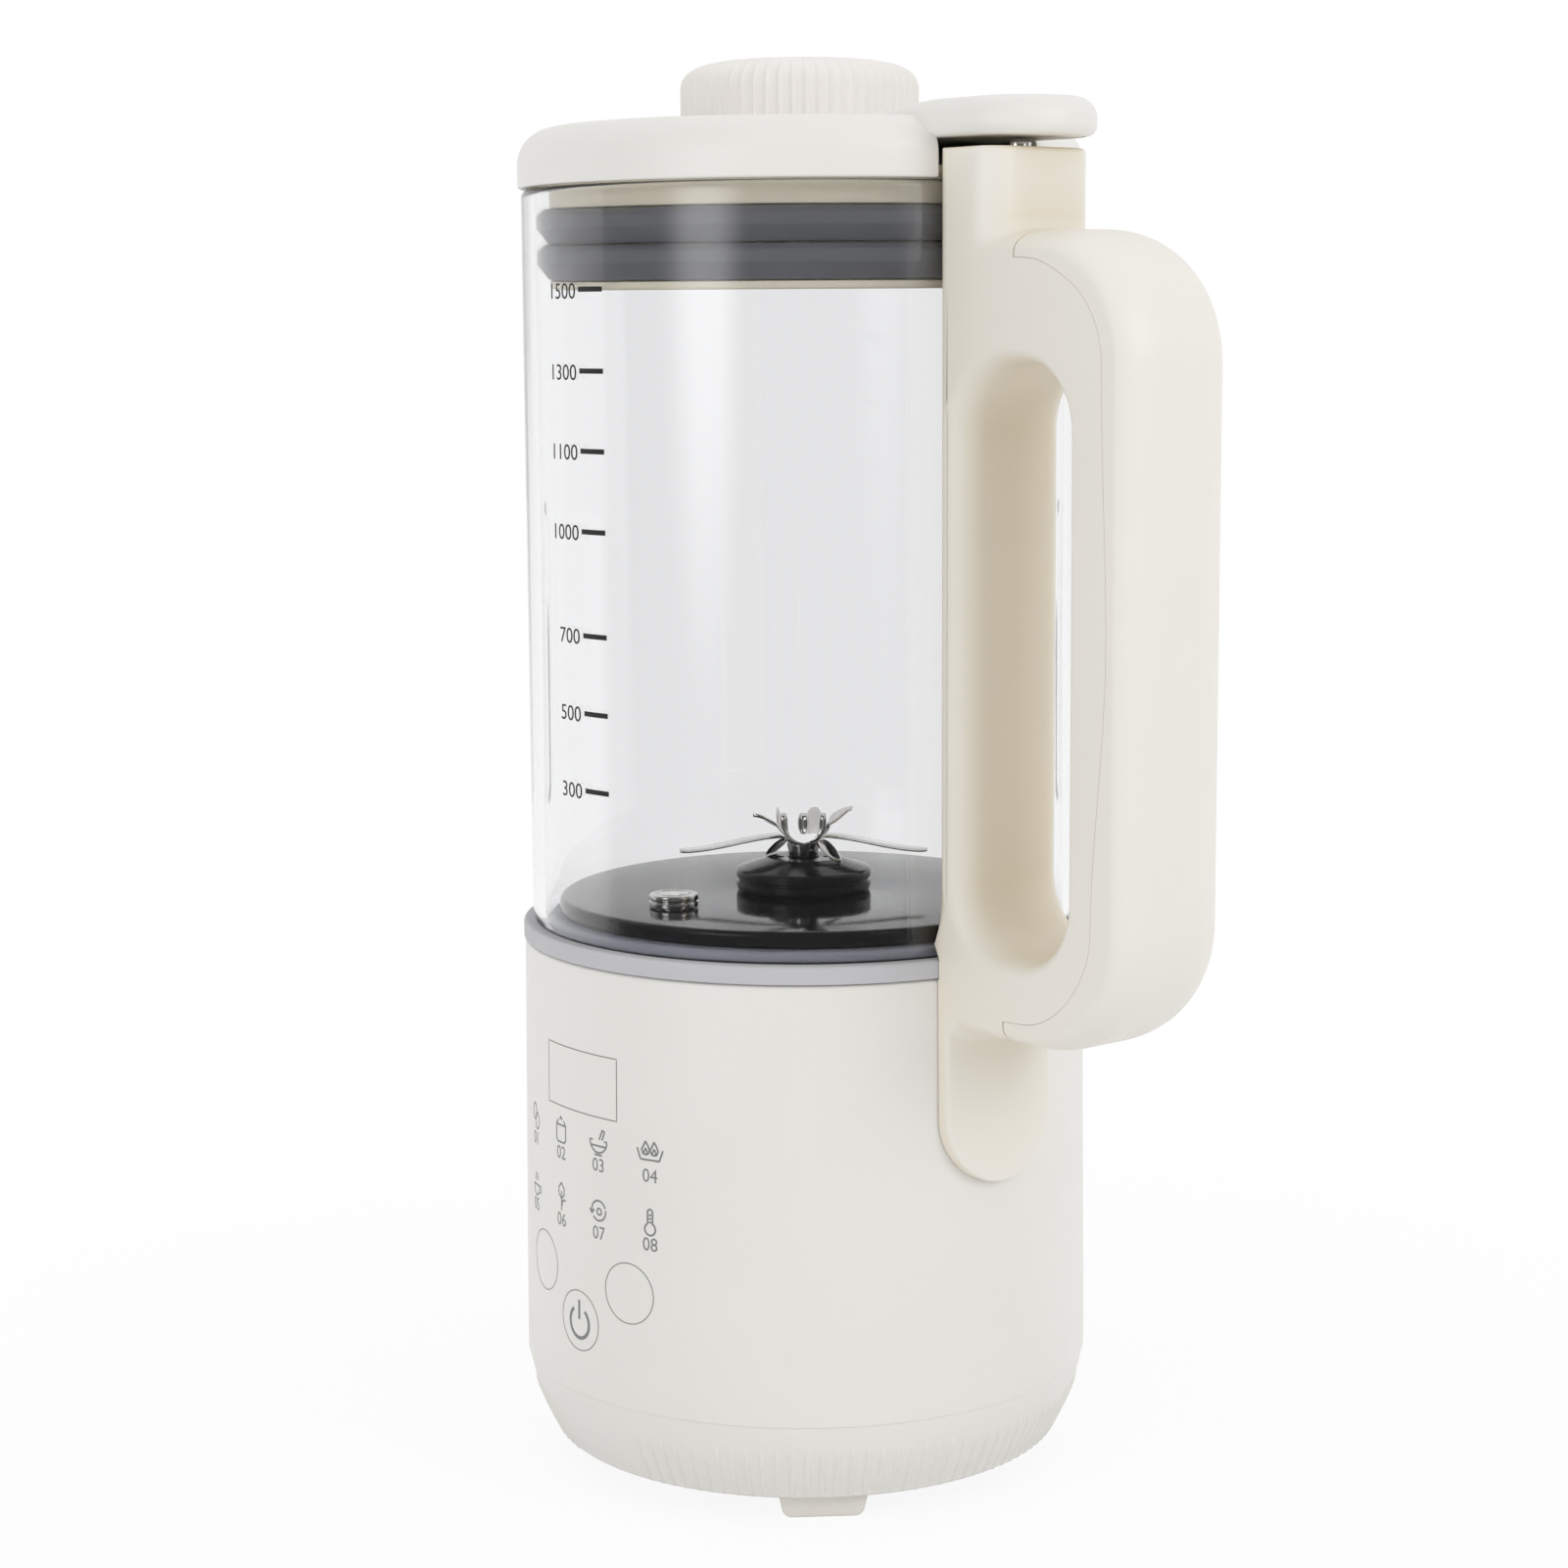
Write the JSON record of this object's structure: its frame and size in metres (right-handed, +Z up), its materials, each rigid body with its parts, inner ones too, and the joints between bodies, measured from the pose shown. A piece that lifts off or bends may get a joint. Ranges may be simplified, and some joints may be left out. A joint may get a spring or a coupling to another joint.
{
  "type": "soy milk maker",
  "caption": "Glass jug soy milk maker with a heated floor, blades, a touch panel base, a D handle and a lift-off lid with a turning feed cap.",
  "frame": {"origin": "centre of the box round the whole machine, on the plane its feet stand on", "axes": "+Z up, -Y out of the touch panel, +X towards the handle"},
  "size_m": [0.1824, 0.13, 0.318],
  "materials": {
    "white_shell": "satin",
    "cream_plastic": "satin",
    "black_plastic": "satin",
    "grey_silicone": "matte",
    "pale_silicone": "matte",
    "clear_glass": "clear",
    "black_enamel": "gloss enamel",
    "steel": "brushed",
    "copper": "enamelled",
    "carbon": "matte",
    "circuit_board": "matte"
  },
  "bodies": {
    "base": {"base_shell": "white_shell", "base_skirt": "white_shell", "foot_front_left": "cream_plastic", "foot_front_right": "cream_plastic", "foot_rear_left": "cream_plastic", "foot_rear_right": "cream_plastic", "handle_body": "cream_plastic", "handle_cover": "cream_plastic", "bearing_nut": "black_plastic", "display": "black_plastic", "mains_inlet": "black_plastic", "interlock_switch": "black_plastic", "plate_gasket": "grey_silicone", "shaft_seal": "grey_silicone", "seat_ring": "pale_silicone", "glass_jug": "clear_glass", "heating_plate": "black_enamel", "plate_clamp": "steel", "heating_element": "steel", "thermal_fuse": "steel", "temperature_sensor": "steel", "lower_motor_bracket": "steel", "upper_motor_bracket": "steel", "motor_stator": "steel", "upper_handle_screw": "steel", "lower_handle_screw": "steel", "bottom_screw_1": "steel", "bottom_screw_2": "steel", "bottom_screw_3": "steel", "upper_field_coil": "copper", "lower_field_coil": "copper", "shaft_bush": "copper", "left_carbon_brush": "carbon", "right_carbon_brush": "carbon", "panel_board": "circuit_board", "power_board": "circuit_board"},
    "blades": {"blade_shaft": "steel", "lower_blade": "steel", "long_blade": "steel", "middle_blade": "steel", "upper_blade": "steel", "blade_lock_nut": "steel", "cooling_fan": "black_plastic", "motor_rotor": "steel", "commutator": "copper"},
    "safety_pin": {"interlock_pin": "steel"},
    "lid": {"lid_cover": "white_shell", "tab_cover": "white_shell", "lid_plug": "cream_plastic", "upper_lip_seal": "grey_silicone", "lower_lip_seal": "grey_silicone"},
    "cap_ring": {"cap_seal": "grey_silicone"},
    "cap": {"cap_knob": "cream_plastic", "cap_plug": "cream_plastic"}
  },
  "joints": [
    {"name": "blade_spin", "type": "hinge", "parent": "base", "child": "blades", "pos_m": [-0.0262, 0, 0.142], "axis": [0, 0, 1], "continuous": true},
    {"name": "interlock_press", "type": "slide", "parent": "base", "child": "safety_pin", "axis": [0, 0, -1], "range_m": [0, 0.0015]},
    {"name": "lid_lift", "type": "slide", "parent": "base", "child": "lid", "axis": [0, 0, 1], "range_m": [0, 0.09]},
    {"name": "cap_lift", "type": "slide", "parent": "lid", "child": "cap_ring", "axis": [0, 0, 1], "range_m": [0, 0.06]},
    {"name": "cap_turn", "type": "hinge", "parent": "cap_ring", "child": "cap", "pos_m": [-0.0262, 0, 0.3], "axis": [0, 0, -1], "range_deg": [0, 60]}
  ]
}
